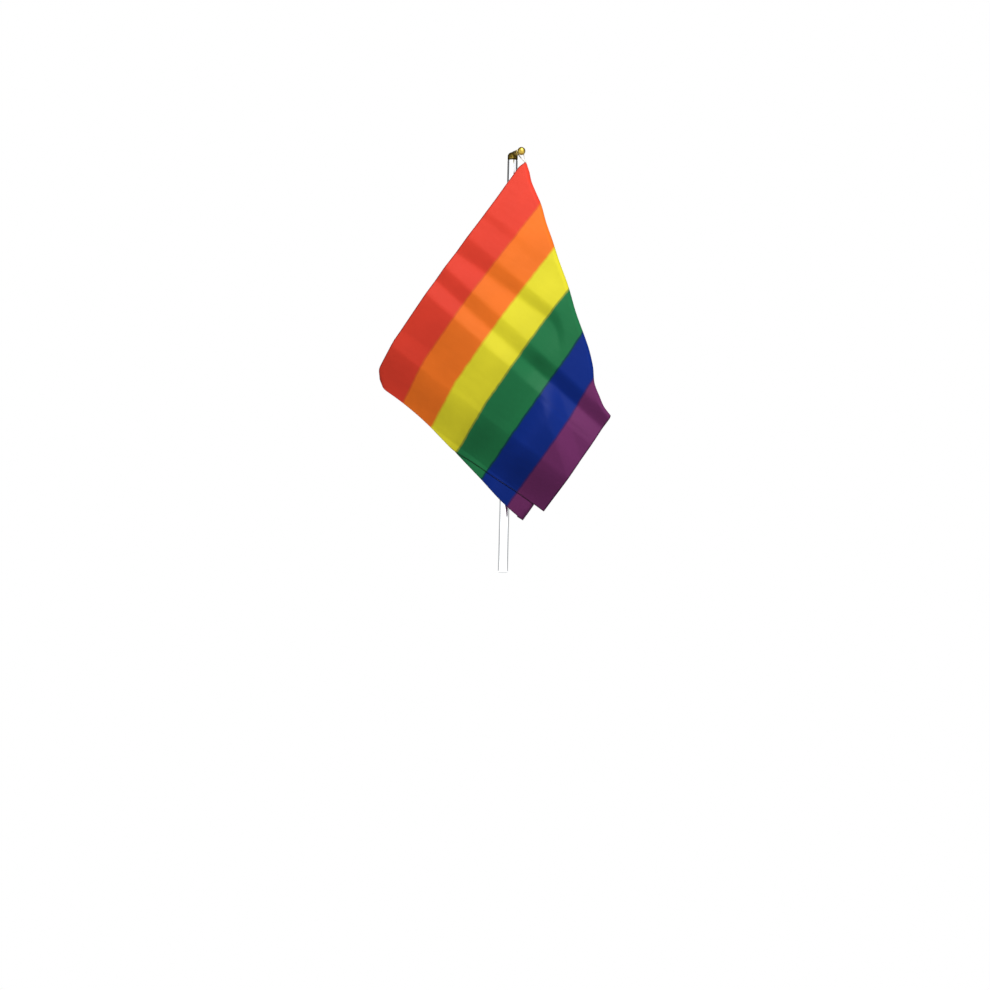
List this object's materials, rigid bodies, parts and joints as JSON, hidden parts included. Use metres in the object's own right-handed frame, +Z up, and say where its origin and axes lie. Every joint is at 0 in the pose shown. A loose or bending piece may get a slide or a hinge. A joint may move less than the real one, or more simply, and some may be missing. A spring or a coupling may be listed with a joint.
{
  "type": "six-stripe pride flag hung by its corner from a peg on a slim pole",
  "caption": "Small rainbow-striped satin flag of two plies, hung by its top corner from a brass peg on a slim chromed pole.",
  "frame": {"origin": "centre of the pole's foot", "axes": "+Z up along the pole, the flag's seen side faces -Y, the fly end's red corner points toward -X"},
  "size_m": [0.1094, 0.0175, 0.2002],
  "materials": {
    "striped_satin": "printed polyester satin with six equal stripes, soft sheen, heat-cut edges",
    "cotton_cord": "thin twisted cotton thread",
    "aged_brass": "turned brass, darkened with age",
    "polished_chrome": "polished chrome plate"
  },
  "bodies": {
    "root": {"outer_ply": "striped_satin", "inner_ply": "striped_satin", "hanging_loop": "cotton_cord", "brass_peg": "aged_brass", "pole": "polished_chrome"}
  },
  "joints": []
}
